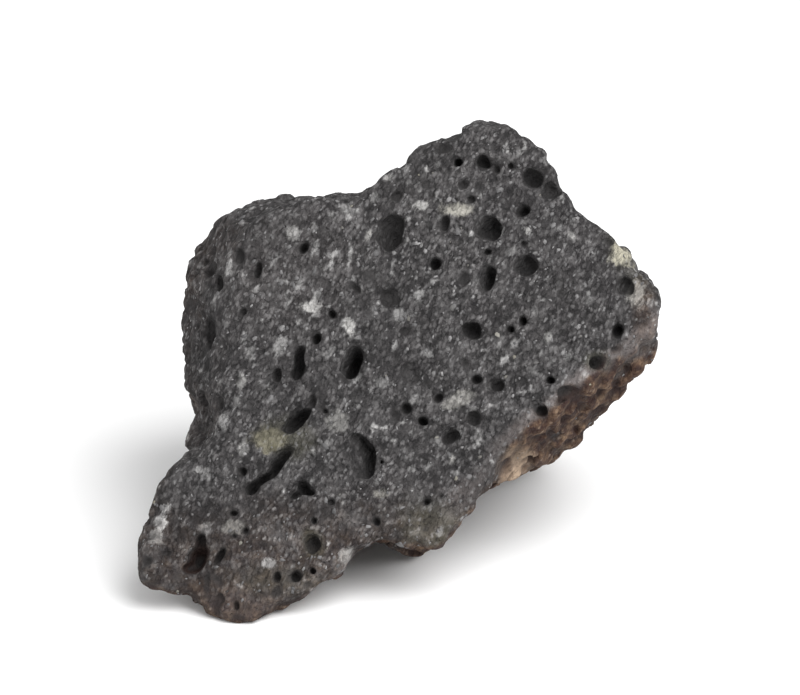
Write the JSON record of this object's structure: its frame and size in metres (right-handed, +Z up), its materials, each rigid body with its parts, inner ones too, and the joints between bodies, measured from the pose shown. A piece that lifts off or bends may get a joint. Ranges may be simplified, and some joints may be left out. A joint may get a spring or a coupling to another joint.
{
  "type": "lava rock",
  "caption": "Hand-sized lump of dark grey vesicular basalt with a clean sloping fracture face, a blunt toe and open gas bubbles all over.",
  "frame": {"origin": "middle of the bounding box in plan, at the plane the rock rests on", "axes": "+Z up, -Y towards the clean front fracture face and the toe, +X to the right of that face, along the longest extent"},
  "size_m": [0.0696, 0.056, 0.0554],
  "materials": {
    "basalt": "matte"
  },
  "bodies": {
    "root": {"lava_rock": "basalt"}
  },
  "joints": []
}
